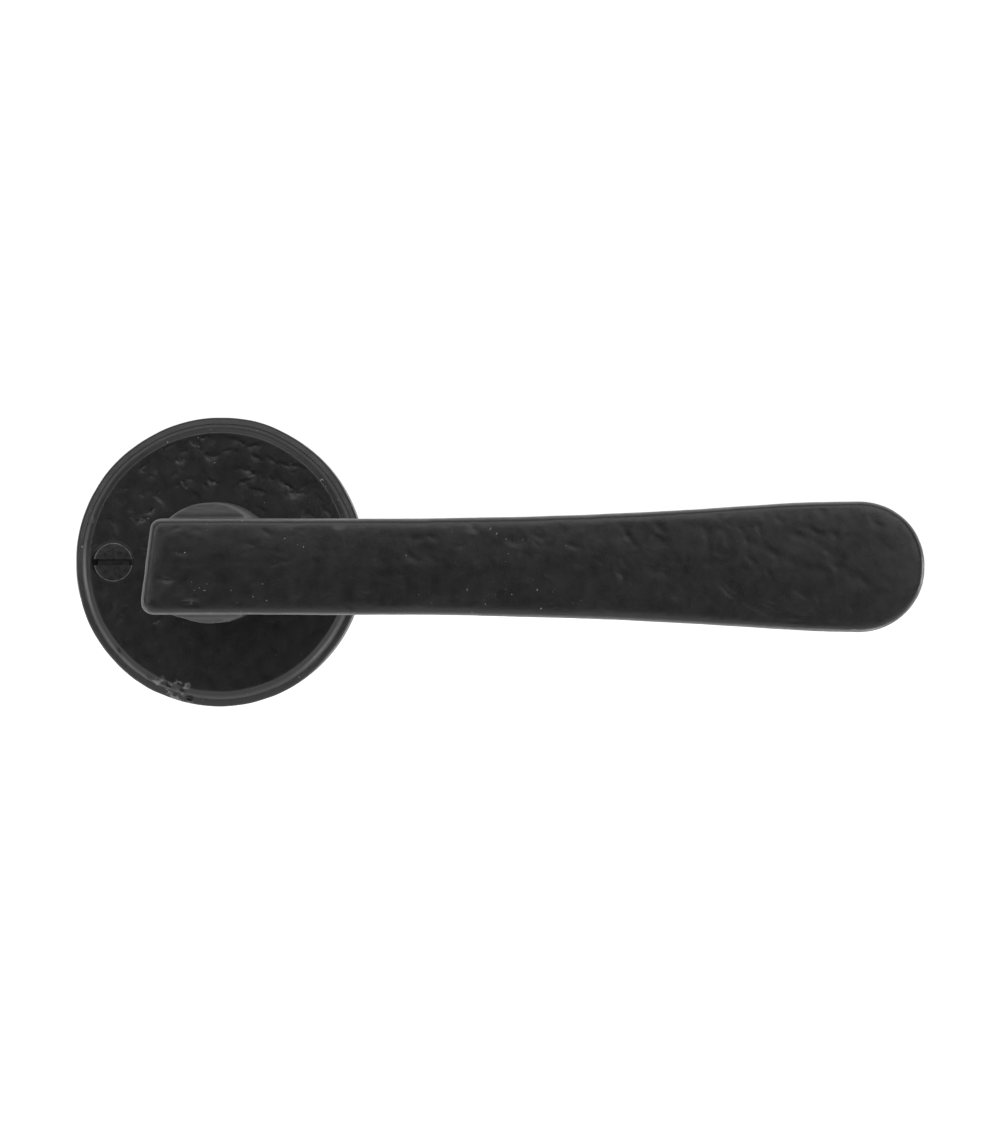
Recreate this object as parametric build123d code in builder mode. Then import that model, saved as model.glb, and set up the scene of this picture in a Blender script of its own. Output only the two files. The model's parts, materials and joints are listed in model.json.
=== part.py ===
"""Door lever handle on a round rose, with its spindle and return-spring mechanism.

Origin: on the spindle axis, in the plane of the door's face.
Axes: -Y out of the door towards the user, +X along the lever, +Z up.
"Height" below means the distance out from the door's face, so it runs along -Y.
All sizes are in millimetres.
"""

import os
from math import asin, copysign, cos, degrees, radians, sin, sqrt

from build123d import *

os.makedirs("parts", exist_ok=True)

# ---------------------------------------------------------------- driving sizes
# Rose
rose_radius = 26.0
rose_shoulder_foot = 1.1  # from the rose's edge in to the foot of the shoulder
rose_shoulder_width = 1.5
rose_shoulder_drop = 1.8
rose_rounding = 0.6
rose_wall = 2.3  # front wall over the spring chamber
rose_rim_wall = 2.8  # outside the back plate

# Fixings into the door: slotted countersunk wood screws
screw_circle_radius = 19.0
wood_screw_radius = 1.75
wood_screw_head_radius = 3.55
wood_screw_length = 30.0
wood_screw_shank = 16.0  # plain length, with the head
wood_screw_swell = 0.1  # the shank is thicker under the head, down to the door's face
wood_screw_slot = 1.1
wood_screw_point = 2.4
wood_screw_clearance = 0.25
wood_thread_pitch = 1.6
wood_thread_depth = 0.5
countersink_margin = 0.3  # countersink's radius beyond the head's
seat_gap = 0.05
thread_valley = 0.35  # flat length between two threads, as a share of the pitch
thread_crest = 0.7  # where the crest stands along the pitch

# Back plate and its screws
plate_thickness = 1.5
plate_clearance = 0.2  # round the plate's edge
plate_bore_clearance = 0.6  # round the lever's tail
plate_screw_radius = 1.25
plate_screw_head_radius = 2.3
plate_screw_length = 6.0
plate_screw_slot = 0.6
plate_screw_sink = 0.1
thread_clearance = 0.05

# Lever: bar, shoulders and neck
bar_height_at_neck = 16.3
paddle_height = 22.3
bar_reach = 123.3  # from the spindle axis to the tip
bar_heel_top = -9.4  # left end at its top corner
bar_heel_bottom = -10.7
heel_top_corner = 1.6
heel_bottom_corner = 2.2
bar_front_height = 54.0
bar_thickness = 9.0
tip_thickness = 6.5
flare_start = 22.0
bar_front_edge = 1.3
bar_back_edge = 0.9
neck_taper = 0.4
shoulder_drop = 2.6  # how far the shoulders slope back below the bar
neck_run_in = 2.25  # how far the neck runs into the bar

# Lever tail, which turns in the bush and carries the mechanism
tail_wall = 2.27  # outside the corners of the spindle's socket
tail_step = 2.8  # from the tail's radius out to the neck's
tail_flat_depth = 1.2
tail_end_height = 1.2
running_fit = 0.05
slip_fit = 0.1
axial_play = 0.3

# Bush and washers
bush_wall = 1.15
bush_flange_thickness = 0.8
flange_cover = 0.4  # how far the neck hides the flange
neck_washer_thickness = 0.5
washer_width = 2.0
washer_thickness = 0.5
spring_washer_height = 0.7
spring_washer_sheet = 0.35
ring_thickness = 1.0
ring_width = 1.7
ring_groove = 0.5
ring_mouth_angle = 36.0
ring_clearance = 0.5  # from the rear ring to the back plate
thrust_gap = 0.1

# Cam, spring and stops
cam_thickness = 1.5
cam_width = 2.2
cam_fork_wall = 1.0
fork_overlap = 0.7  # fork's height above the wire
wire_radius = 0.7
coil_turns = 1.5
coil_gap = 0.2  # between neighbouring turns
coil_clearance = 0.5  # inside the coil
leg_clearance = 0.05
wire_bend_radius = 1.4  # along the wire's centre line, between the coil and each leg
spring_rest_gap = 0.3  # between the spring and the cam
spring_roof_gap = 0.1
anchor_pin_radius = 1.0
anchor_pin_gap = 0.4  # from the coil to the anchor pins
anchor_pin_seat = 1.5
stop_pin_radius = 1.5
stop_pin_inset = 1.3  # from the cam arm's end in to the stop pins' centres
turn_limit = 40.0
stop_margin = 1.0  # degrees left at each end of the turn
chamber_clearance = 0.7  # outside the cam's arm

# Spindle and grub screw
spindle_side = 8.0
spindle_top_height = 36.0
spindle_length = 110.0
spindle_chamfer = 0.8
spindle_clearance = 0.1
grub_radius = 2.5
grub_height = 24.0
grub_recess = 0.8  # below the neck's surface
grub_hex = 2.5  # across flats
grub_hex_depth = 2.5
grub_clearance = 0.05
grub_point = 0.4

# Cutting shapes run this far past the surface they cut
overcut = 1.0

# ---------------------------------------------------------------- worked-out radii
socket_side = spindle_side + spindle_clearance
tail_radius = socket_side / sqrt(2) + tail_wall
neck_base_radius = tail_radius + tail_step
tail_flat = tail_radius - tail_flat_depth
bush_outer_radius = tail_radius + running_fit + bush_wall
bush_flange_radius = neck_base_radius - flange_cover
washer_radius = tail_radius + washer_width
ring_radius = tail_radius + ring_width
cam_radius = tail_radius + cam_width
coil_radius = washer_radius + coil_clearance + wire_radius
anchor_circle_radius = coil_radius + wire_radius + anchor_pin_gap + anchor_pin_radius
leg_end_radius = anchor_circle_radius + anchor_pin_radius
leg_start_radius = sqrt((coil_radius + wire_bend_radius) ** 2 - wire_bend_radius**2)
chamber_radius = leg_end_radius + chamber_clearance
stop_circle_radius = leg_end_radius - stop_pin_inset
plate_radius = rose_radius - rose_rim_wall - plate_clearance
rose_step_radius = rose_radius - rose_shoulder_foot
rose_face_radius = rose_step_radius - rose_shoulder_width
countersink_radius = wood_screw_head_radius + countersink_margin

# ------------------------------------- worked-out heights, stacked up from the door
rear_ring_height = plate_thickness + ring_clearance
cam_height = rear_ring_height + ring_thickness
tail_flats_height = cam_height + cam_thickness
spring_low = tail_flats_height + spring_rest_gap + wire_radius
coil_rise = coil_turns * (2 * wire_radius + coil_gap)
spring_top = spring_low + coil_rise
chamber_roof = spring_top + wire_radius + spring_roof_gap
rose_height = chamber_roof + rose_wall
rose_rim_height = rose_height - rose_shoulder_drop
neck_start_height = rose_height + axial_play + neck_washer_thickness
spring_washer_low = chamber_roof - thrust_gap - spring_washer_height
washer_low = spring_washer_low - washer_thickness
front_ring_height = washer_low - ring_thickness
bar_back_height = bar_front_height - bar_thickness
neck_end_height = bar_back_height + neck_run_in


def flat_ring(outer, inner, height):
    """A ring-shaped face about the spindle axis, at a height above the door."""
    with BuildSketch(Plane.XZ.offset(height)) as face:
        Circle(outer)
        Circle(inner, mode=Mode.SUBTRACT)
    return face.sketch


def pin_faces(places, radius, height):
    """Round faces at several (x, z) places, at a height above the door."""
    with BuildSketch(Plane.XZ.offset(height)) as face:
        with Locations(*places):
            Circle(radius)
    return face.sketch


def polar(radius, angle):
    """The (x, z) place at a radius from the spindle axis; 90 degrees is up."""
    return (radius * cos(radians(angle)), radius * sin(radians(angle)))


left_right = [(-screw_circle_radius, 0), (screw_circle_radius, 0)]
top_bottom = [(0, screw_circle_radius), (0, -screw_circle_radius)]
anchor_offset = wire_radius + leg_clearance + anchor_pin_radius
anchor_places = [(side * anchor_offset, anchor_circle_radius) for side in (-1, 1)]
arm_half_width = wire_radius + leg_clearance + cam_fork_wall
stop_swing = degrees(asin((arm_half_width + stop_pin_radius) / stop_circle_radius))
stop_angle = turn_limit + stop_margin + stop_swing
stop_places = [polar(stop_circle_radius, 270 + side * stop_angle) for side in (-1, 1)]


# ---------------------------------------------------------------- rose
with BuildPart() as rose:
    with BuildSketch(Plane.XY):
        with BuildLine():
            Polyline(
                (0, 0),
                (rose_radius, 0),
                (rose_radius, -rose_rim_height + rose_rounding),
            )
            RadiusArc(
                (rose_radius, -rose_rim_height + rose_rounding),
                (rose_radius - rose_rounding, -rose_rim_height),
                rose_rounding,
            )
            Polyline(
                (rose_radius - rose_rounding, -rose_rim_height),
                (rose_step_radius, -rose_rim_height),
                (rose_face_radius, -rose_height),
                (0, -rose_height),
                (0, 0),
            )
        make_face()
    revolve(axis=Axis.Y)
    face_edge = rose.edges().filter_by(GeomType.CIRCLE).group_by(Axis.Y)[0]
    fillet(face_edge, rose_rounding)
    extrude(
        flat_ring(rose_radius - rose_rim_wall, tail_radius, 0),
        amount=plate_thickness,
        mode=Mode.SUBTRACT,
    )
    extrude(flat_ring(chamber_radius, tail_radius, 0), amount=chamber_roof, mode=Mode.SUBTRACT)
    with BuildSketch(Plane.XZ):
        Circle(bush_outer_radius)
    extrude(amount=rose_height, mode=Mode.SUBTRACT)
    with BuildSketch(Plane.XZ.offset(rose_height)):
        Circle(bush_flange_radius)
    extrude(amount=-bush_flange_thickness, mode=Mode.SUBTRACT)
    with Locations(Plane.XZ.offset(rose_height)):
        with Locations(*left_right):
            CounterSinkHole(
                wood_screw_radius + wood_screw_clearance,
                countersink_radius,
                counter_sink_angle=90,
            )
    extrude(
        pin_faces(top_bottom, plate_screw_radius + thread_clearance, plate_thickness),
        amount=plate_screw_length - plate_thickness + slip_fit,
        mode=Mode.SUBTRACT,
    )
    extrude(
        pin_faces(anchor_places, anchor_pin_radius, chamber_roof),
        amount=anchor_pin_seat,
        mode=Mode.SUBTRACT,
    )
rose.part.label = "rose"
export_step(rose.part, "parts/rose.step")

# ---------------------------------------------------------------- bush and thrust washer
with BuildPart() as rose_bush:
    extrude(
        flat_ring(bush_outer_radius, tail_radius + running_fit, chamber_roof),
        amount=rose_wall,
    )
    extrude(
        flat_ring(
            bush_flange_radius,
            tail_radius + running_fit,
            rose_height - bush_flange_thickness,
        ),
        amount=bush_flange_thickness,
    )
rose_bush.part.label = "rose_bush"
export_step(rose_bush.part, "parts/rose_bush.step")

with BuildPart() as neck_washer:
    extrude(
        flat_ring(
            bush_flange_radius,
            tail_radius + slip_fit,
            neck_start_height - neck_washer_thickness,
        ),
        amount=neck_washer_thickness,
    )
neck_washer.part.label = "neck_washer"
export_step(neck_washer.part, "parts/neck_washer.step")

# ---------------------------------------------------------------- lever
paddle_radius = paddle_height / 2
paddle_centre = bar_reach - paddle_radius
bar_half = bar_height_at_neck / 2
flare = paddle_radius - bar_half
flare_length = paddle_centre - flare_start


def bar_edge(side):
    """Points along one long edge of the bar, from the neck to the paddle."""
    places = [(0.0, 0.0), (0.42, 0.17), (0.74, 0.63), (1.0, 1.0)]
    return [
        (flare_start + share * flare_length, side * (bar_half + grown * flare))
        for share, grown in places
    ]


def shoulder_cut(end, side):
    """Corners (y, across) of the wedge cut off the neck, from its side in to the bar."""
    return [
        (-neck_end_height, end),
        (-neck_end_height, side),
        (-bar_back_height + shoulder_drop, side),
    ]


with BuildPart() as bar:
    # Outline seen from the front, with a round paddle end
    with BuildSketch(Plane.XZ.offset(bar_back_height)):
        with BuildLine():
            Spline(*bar_edge(1), tangents=[(1, 0), (1, 0)])
            RadiusArc(
                (paddle_centre, paddle_radius), (paddle_centre, -paddle_radius), paddle_radius
            )
            Spline(*bar_edge(-1), tangents=[(1, 0), (1, 0)])
            FilletPolyline(
                (flare_start, bar_half),
                (bar_heel_top, bar_half),
                (bar_heel_bottom, -bar_half),
                (flare_start, -bar_half),
                radius=[heel_top_corner, heel_bottom_corner],
            )
        make_face()
    extrude(amount=bar_thickness)
    # The back slopes forward, so the bar thins towards the tip
    with BuildSketch(Plane.XY) as back_slope:
        with BuildLine():
            Polyline(
                (bar_heel_bottom, -bar_back_height),
                (bar_reach, -bar_front_height + tip_thickness),
                (bar_reach, -bar_back_height + overcut),
                (bar_heel_bottom, -bar_back_height + overcut),
                close=True,
            )
        make_face()
    extrude(back_slope.sketch, amount=paddle_height, both=True, mode=Mode.SUBTRACT)
    fillet(bar.faces().sort_by(Axis.Y)[0].edges(), bar_front_edge)
    fillet(bar.faces().sort_by(Axis.Y)[-1].edges(), bar_back_edge)

with BuildPart() as lever:
    # Neck: a slightly tapering round column up into the bar
    with BuildSketch(Plane.XY):
        with BuildLine():
            Polyline(
                (0, -neck_start_height),
                (neck_base_radius, -neck_start_height),
                (neck_base_radius - neck_taper, -neck_end_height),
                (0, -neck_end_height),
                close=True,
            )
        make_face()
    revolve(axis=Axis.Y)
    # Shoulders: the column is cut back to the bar's edges above, below and at the heel
    shoulder_ends = (bar_half - bar_back_edge, -bar_half + bar_back_edge)
    for end in shoulder_ends:
        with BuildSketch(Plane.YZ):
            with BuildLine():
                Polyline(*shoulder_cut(end, copysign(neck_base_radius, end)), close=True)
            make_face()
        extrude(amount=neck_base_radius, both=True, mode=Mode.SUBTRACT)
    with BuildSketch(Plane.XY):
        with BuildLine():
            heel_cut = shoulder_cut(bar_heel_top + bar_back_edge, -neck_base_radius)
            Polyline(*[(x, y) for y, x in heel_cut], close=True)
        make_face()
    extrude(amount=neck_base_radius, both=True, mode=Mode.SUBTRACT)
    add(bar.part)
    # Tail: round where it turns in the bush, two flats where it carries the cam
    with BuildSketch(Plane.XZ.offset(tail_end_height)):
        Circle(tail_radius)
    extrude(amount=neck_start_height - tail_end_height)
    with BuildSketch(Plane.XZ.offset(tail_end_height)):
        with Locations((tail_flat + tail_radius, 0), (-tail_flat - tail_radius, 0)):
            Rectangle(2 * tail_radius, 2 * tail_radius)
    extrude(amount=tail_flats_height - tail_end_height, mode=Mode.SUBTRACT)
    for low in (rear_ring_height, front_ring_height):
        extrude(
            flat_ring(tail_radius + overcut, tail_radius - ring_groove, low),
            amount=ring_thickness,
            mode=Mode.SUBTRACT,
        )
    # Blind square socket for the spindle
    with BuildSketch(Plane.XZ.offset(tail_end_height)):
        Rectangle(socket_side, socket_side)
    extrude(amount=spindle_top_height - tail_end_height, mode=Mode.SUBTRACT)
    # Grub screw hole through the underside of the neck
    with BuildSketch(Plane.XY):
        with Locations((0, -grub_height)):
            Circle(grub_radius + grub_clearance)
    extrude(amount=-neck_base_radius, mode=Mode.SUBTRACT)
lever.part.label = "lever"
export_step(lever.part, "parts/lever.step")

# ---------------------------------------------------------------- spindle and grub screw
grub_length = neck_base_radius - spindle_side / 2 - grub_recess

with BuildPart() as spindle:
    with BuildSketch(Plane.XZ.offset(spindle_top_height - spindle_length)):
        Rectangle(spindle_side, spindle_side)
    extrude(amount=spindle_length)
    ends = spindle.faces().filter_by(Axis.Y)
    chamfer(ends.edges(), spindle_chamfer)
spindle.part.label = "spindle"
export_step(spindle.part, "parts/spindle.step")

with BuildPart() as grub_screw:
    with BuildSketch(Plane.XY.offset(-spindle_side / 2 - grub_length)):
        with Locations((0, -grub_height)):
            Circle(grub_radius)
    extrude(amount=grub_length)
    with BuildSketch(Plane.XY.offset(-spindle_side / 2 - grub_length)):
        with Locations((0, -grub_height)):
            RegularPolygon(grub_hex / 2, 6, major_radius=False)
    extrude(amount=grub_hex_depth, mode=Mode.SUBTRACT)
    chamfer(grub_screw.edges().filter_by(GeomType.CIRCLE), grub_point)
grub_screw.part.label = "grub_screw"
export_step(grub_screw.part, "parts/grub_screw.step")

# ---------------------------------------------------------------- washers and snap rings
with BuildPart() as retaining_washer:
    extrude(
        flat_ring(washer_radius, tail_radius + slip_fit, washer_low), amount=washer_thickness
    )
retaining_washer.part.label = "retaining_washer"
export_step(retaining_washer.part, "parts/retaining_washer.step")

with BuildPart() as spring_washer:
    inner = tail_radius + slip_fit
    cone_rise = spring_washer_height - spring_washer_sheet
    with BuildSketch(Plane.XY):
        with BuildLine():
            Polyline(
                (washer_radius, -spring_washer_low),
                (inner, -spring_washer_low - cone_rise),
                (inner, -spring_washer_low - spring_washer_height),
                (washer_radius, -spring_washer_low - spring_washer_sheet),
                close=True,
            )
        make_face()
    revolve(axis=Axis.Y)
spring_washer.part.label = "spring_washer"
export_step(spring_washer.part, "parts/spring_washer.step")

with BuildPart() as snap_rings:
    for low in (rear_ring_height, front_ring_height):
        extrude(flat_ring(ring_radius, tail_radius - ring_groove, low), amount=ring_thickness)
        # The mouth lets the ring spring over the tail
        with BuildSketch(Plane.XZ.offset(low)):
            with BuildLine():
                left = polar(chamber_radius, 90 + ring_mouth_angle / 2)
                right = polar(chamber_radius, 90 - ring_mouth_angle / 2)
                Polyline((0, 0), left, right, close=True)
            make_face()
        extrude(amount=ring_thickness, mode=Mode.SUBTRACT)
snap_rings.part.label = "snap_rings"
export_step(snap_rings.part, "parts/snap_rings.step")

# ---------------------------------------------------------------- cam
with BuildPart() as spring_cam:
    with BuildSketch(Plane.XZ.offset(cam_height)):
        Circle(cam_radius)
        with Locations((0, -leg_end_radius / 2)):
            Rectangle(2 * arm_half_width, leg_end_radius)
        with BuildSketch(mode=Mode.PRIVATE) as keyed_hole:
            Circle(tail_radius + running_fit)
            Rectangle(
                2 * (tail_flat + running_fit), 2 * cam_radius, mode=Mode.INTERSECT
            )
        add(keyed_hole.sketch, mode=Mode.SUBTRACT)
    extrude(amount=cam_thickness)
    # Fork that holds the spring's moving leg
    fork_length = leg_end_radius - leg_start_radius
    with BuildSketch(Plane.XZ.offset(tail_flats_height)):
        for side in (-1, 1):
            across = side * (arm_half_width - cam_fork_wall / 2)
            with Locations((across, -leg_end_radius + fork_length / 2)):
                Rectangle(cam_fork_wall, fork_length)
    extrude(amount=spring_rest_gap + 2 * wire_radius + fork_overlap)
spring_cam.part.label = "spring_cam"
export_step(spring_cam.part, "parts/spring_cam.step")

# ---------------------------------------------------------------- return spring
# One coil and a half between two bent legs: the moving leg points down into the
# cam's fork and the fixed leg points up between the anchor pins.
bend_span = degrees(asin(wire_bend_radius / (coil_radius + wire_bend_radius)))
coil_share = 1 - 2 * bend_span / (360 * coil_turns)

with BuildPart() as return_spring:
    whole_coil = Helix(
        pitch=coil_rise / coil_turns,
        height=coil_rise * coil_share,
        radius=coil_radius,
        center=(0, -spring_low, 0),
        direction=(0, -1, 0),
        mode=Mode.PRIVATE,
    )
    coil = whole_coil.rotate(Axis((0, 0, 0), (0, -1, 0)), bend_span)
    with BuildSketch(Plane(coil @ 0, z_dir=coil % 0)):
        Circle(wire_radius)
    sweep(path=coil, is_frenet=True)
    for coil_end, away in ((coil @ 0, -(coil % 0)), (coil @ 1, coil % 1)):
        outward = Vector(coil_end.X, 0, coil_end.Z).normalized()
        bend_axis = Axis(coil_end + outward * wire_bend_radius, away.cross(outward))
        with BuildSketch(Plane(coil_end, z_dir=away)) as wire_end:
            Circle(wire_radius)
        revolve(wire_end.sketch, axis=bend_axis, revolution_arc=90 - bend_span)
    bend_ends = return_spring.faces().filter_by(GeomType.PLANE).sort_by(Axis.Z)
    for bend_end in (bend_ends[0], bend_ends[-1]):
        extrude(bend_end, amount=leg_end_radius - leg_start_radius)
return_spring.part.label = "return_spring"
export_step(return_spring.part, "parts/return_spring.step")

# ---------------------------------------------------------------- pins
with BuildPart() as spring_anchor_pins:
    pin_low = spring_top - wire_radius - slip_fit
    extrude(
        pin_faces(anchor_places, anchor_pin_radius, pin_low),
        amount=chamber_roof + anchor_pin_seat - pin_low,
    )
spring_anchor_pins.part.label = "spring_anchor_pins"
export_step(spring_anchor_pins.part, "parts/spring_anchor_pins.step")

with BuildPart() as stop_pins:
    extrude(
        pin_faces(stop_places, stop_pin_radius, 0), amount=tail_flats_height - slip_fit
    )
stop_pins.part.label = "stop_pins"
export_step(stop_pins.part, "parts/stop_pins.step")

# ---------------------------------------------------------------- back plate and its screws
with BuildPart() as back_plate:
    extrude(
        flat_ring(plate_radius, tail_radius + plate_bore_clearance, 0), amount=plate_thickness
    )
    extrude(
        pin_faces(left_right, wood_screw_radius + wood_screw_clearance, 0),
        amount=plate_thickness,
        mode=Mode.SUBTRACT,
    )
    extrude(
        pin_faces(stop_places, stop_pin_radius, 0), amount=plate_thickness, mode=Mode.SUBTRACT
    )
    with Locations(Plane(origin=(0, 0, 0), x_dir=(1, 0, 0), z_dir=(0, 1, 0))):
        with Locations(*top_bottom):
            CounterSinkHole(
                plate_screw_radius + slip_fit,
                plate_screw_head_radius + slip_fit,
                depth=plate_thickness,
                counter_sink_angle=90,
            )
back_plate.part.label = "back_plate"
export_step(back_plate.part, "parts/back_plate.step")


plate_screw_cone_end = plate_screw_sink + plate_screw_head_radius - plate_screw_radius

with BuildPart() as plate_screw:
    with BuildSketch(Plane.XY):
        with BuildLine():
            Polyline(
                (0, -plate_screw_sink),
                (plate_screw_head_radius, -plate_screw_sink),
                (plate_screw_radius, -plate_screw_cone_end),
                (plate_screw_radius, -plate_screw_length),
                (0, -plate_screw_length),
                close=True,
            )
        make_face()
    revolve(axis=Axis.Y)
    with BuildSketch(Plane.XZ.offset(plate_screw_sink)):
        Rectangle(2 * (plate_screw_head_radius + overcut), plate_screw_slot)
    extrude(amount=plate_screw_slot, mode=Mode.SUBTRACT)

with BuildPart() as back_plate_screws:
    with Locations(*[(x, 0, z) for x, z in top_bottom]):
        add(plate_screw.part)
back_plate_screws.part.label = "back_plate_screws"
export_step(back_plate_screws.part, "parts/back_plate_screws.step")

# ---------------------------------------------------------------- wood screws
head_top = rose_height - (countersink_radius - wood_screw_head_radius) + seat_gap
cone_foot = head_top - (wood_screw_head_radius - wood_screw_radius - wood_screw_swell)
thread_top = head_top - wood_screw_shank
screw_tip = head_top - wood_screw_length
thread_turns = int((thread_top - screw_tip - wood_screw_point) / wood_thread_pitch)
root_radius = wood_screw_radius - wood_thread_depth


def thread_rings():
    """Half profile (radius, y) of the threaded length, as sharp rings."""
    points = []
    for turn in range(thread_turns):
        ring_top = thread_top - turn * wood_thread_pitch
        points.append((root_radius, -ring_top + wood_thread_pitch * thread_valley))
        points.append((wood_screw_radius, -ring_top + wood_thread_pitch * thread_crest))
        points.append((root_radius, -ring_top + wood_thread_pitch))
    return points


with BuildPart() as wood_screw:
    with BuildSketch(Plane.XY):
        with BuildLine():
            Polyline(
                (0, -head_top),
                (wood_screw_head_radius, -head_top),
                (wood_screw_radius + wood_screw_swell, -cone_foot),
                (wood_screw_radius, 0),
                (wood_screw_radius, -thread_top),
                *thread_rings(),
                (0, -screw_tip),
                close=True,
            )
        make_face()
    revolve(axis=Axis.Y)
    with BuildSketch(Plane.XZ.offset(head_top)):
        Rectangle(2 * (wood_screw_head_radius + overcut), wood_screw_slot)
    extrude(amount=-wood_screw_slot, mode=Mode.SUBTRACT)

with BuildPart() as wood_screws:
    with Locations(*[(x, 0, z) for x, z in left_right]):
        add(wood_screw.part)
wood_screws.part.label = "wood_screws"
export_step(wood_screws.part, "parts/wood_screws.step")
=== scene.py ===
"""Black iron door lever on a round rose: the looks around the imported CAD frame.

The frame is in metres with +Z up, -Y towards the viewer and +X along the lever. Pieces are
drawn in millimetres and made metres by piece(). "Height" is the distance out from the door's
face, along -Y.
"""

import json
import math
import random

import bmesh
import bpy
import numpy as np
from mathutils import Matrix, Vector, noise


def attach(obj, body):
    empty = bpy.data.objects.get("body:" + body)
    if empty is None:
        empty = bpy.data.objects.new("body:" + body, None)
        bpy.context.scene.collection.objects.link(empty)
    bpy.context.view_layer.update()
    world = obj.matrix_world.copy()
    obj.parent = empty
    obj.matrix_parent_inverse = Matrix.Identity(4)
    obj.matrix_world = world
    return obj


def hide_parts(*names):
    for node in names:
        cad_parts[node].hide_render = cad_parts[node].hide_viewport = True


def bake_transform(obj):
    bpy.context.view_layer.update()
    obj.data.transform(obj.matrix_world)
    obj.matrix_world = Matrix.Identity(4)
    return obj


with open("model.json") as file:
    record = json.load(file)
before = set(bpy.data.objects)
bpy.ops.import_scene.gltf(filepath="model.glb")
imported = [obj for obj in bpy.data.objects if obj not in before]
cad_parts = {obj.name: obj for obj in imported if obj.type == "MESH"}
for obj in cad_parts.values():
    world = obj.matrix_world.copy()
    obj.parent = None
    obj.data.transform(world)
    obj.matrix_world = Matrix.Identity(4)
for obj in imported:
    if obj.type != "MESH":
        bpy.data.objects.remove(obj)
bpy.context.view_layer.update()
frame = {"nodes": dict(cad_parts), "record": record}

MM = 0.001
nodes = frame["nodes"]
scene = bpy.context.scene

# ---------------------------------------------------------------- driving sizes, mm
# Rose
ROSE_RADIUS = 26.0
ROSE_HEIGHT = 11.0
ROSE_RIM_HEIGHT = 9.2
ROSE_STEP_RADIUS = 24.9
ROSE_FACE_RADIUS = 23.4
ROSE_ROUNDING = 0.6
PLATE_RECESS_RADIUS = 23.2
PLATE_THICKNESS = 1.5
CHAMBER_RADIUS = 15.0
CHAMBER_ROOF = 8.7
BUSH_RADIUS = 9.2
FLANGE_RADIUS = 10.4
FLANGE_THICKNESS = 0.8
ANCHOR_PIN_RADIUS = 1.0
ANCHOR_PIN_SEAT = 1.5
ANCHOR_PIN_ACROSS = 1.75
PLATE_SCREW_RADIUS = 1.3
PLATE_SCREW_END = 6.1
# Wood screws
SCREW_CENTRES = 19.0
SCREW_HEAD_RADIUS = 3.55
SCREW_HEAD_TOP = 10.75
SCREW_SHANK_RADIUS = 1.75
SCREW_ROOT_RADIUS = 1.25
SCREW_SLOT = 1.1
SCREW_SLOT_DEPTH = 0.7
SCREW_THREAD_TOP = -5.25
SCREW_TIP = -19.25
SCREW_PITCH = 1.6
SCREW_HOLE_RADIUS = 2.0
COUNTERSINK_RADIUS = 3.88
# Lever
NECK_START = 11.8
NECK_BOTTOM_RADIUS = 10.8
TAIL_RADIUS = 7.9976
TAIL_FLAT = 6.7976
TAIL_END = 1.2
TAIL_FLATS_HEIGHT = 4.5
GROOVE_RADIUS = 7.4976
GROOVES = ((2.0, 3.0), (6.4, 7.4))
SOCKET_SIDE = 8.1
SOCKET_END = 36.0
GRUB_HEIGHT = 24.0
GRUB_HOLE_RADIUS = 2.55
BAR_FRONT = 54.0
BAR_HALF = 8.15
BAR_THICKNESS = 9.0
BAR_BACK = BAR_FRONT - BAR_THICKNESS
EDGE_BREAK = 0.1  # on the plain steel pieces
# Return spring
WIRE_RADIUS = 0.7
COIL_RADIUS = 11.2
COIL_TURNS = 1.5
SPRING_LOW = 5.5
SPRING_TOP = 7.9
LEG_END = 14.3
WIRE_BEND = 1.4

# ---------------------------------------------------------------- camera, floor and light
CAMERA_DISTANCE = 0.95
CAMERA_ACROSS = 0.0504
CAMERA_ABOVE = 0.004
AIM_HEIGHT = -0.0001
LENS = 167.5
SENSOR_WIDTH = 36
CAMERA_SIGHT = 50  # how far the camera sees, past the floor's end
FLOOR_HEIGHT = -0.14
FLOOR_REACH = 12.0
FLOOR_FRONT = -0.35
FLOOR_GLOW = 0.24  # the light that the floor itself gives off
FLOOR_GLOW_SEEN = 0.6  # the same as the camera sees it, so that the floor stays white
WORLD_FRONT = 0.16  # the studio's light in front of the handle, as a share of that behind it
WORLD_NEAR = -1.0  # the light grows from this place in depth, where straight in front is -1
WORLD_FAR = 0.25  # to this one, a little behind the handle
WORLD_CURVE = 2.0
WORLD_SEEN = 1.05  # the background as the camera sees it
LAMP_TARGET = (0.04, -0.02, 0)
# Name, place, size and power
LAMPS = (
    ("right_lamp", (0.62, 0.12, -0.05), (0.3, 0.15), 1.1),
    ("left_lamp", (-0.6, 0.14, -0.05), (0.3, 0.15), 0.45),
    ("low_right_lamp", (0.14, 0.02, -0.122), (0.06, 0.05), 0.03),
    ("low_left_lamp", (-0.125, 0.02, -0.122), (0.1, 0.08), 0.02),
    ("top_lamp", (0.05, -1.0, 0.85), (1.6, 1.0), 9.5),
    ("front_right_lamp", (0.6, -1.1, 0.25), (0.6, 0.6), 2.0),
    ("front_left_lamp", (-0.75, -0.95, 0.25), (0.3, 0.6), 2.2),
)


def look_at(thing, target):
    """Turns a camera or lamp to face a point."""
    direction = Vector(target) - thing.location
    thing.rotation_euler = direction.to_track_quat("-Z", "Y").to_euler()


def make_camera():
    """A long lens straight in front of the handle."""
    data = bpy.data.cameras.new("camera")
    data.lens = LENS
    data.sensor_width = SENSOR_WIDTH
    data.clip_end = CAMERA_SIGHT
    camera = bpy.data.objects.new("camera", data)
    camera.location = (CAMERA_ACROSS, -CAMERA_DISTANCE, CAMERA_ABOVE)
    look_at(camera, (CAMERA_ACROSS, 0, AIM_HEIGHT))
    scene.collection.objects.link(camera)
    scene.camera = camera


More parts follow.
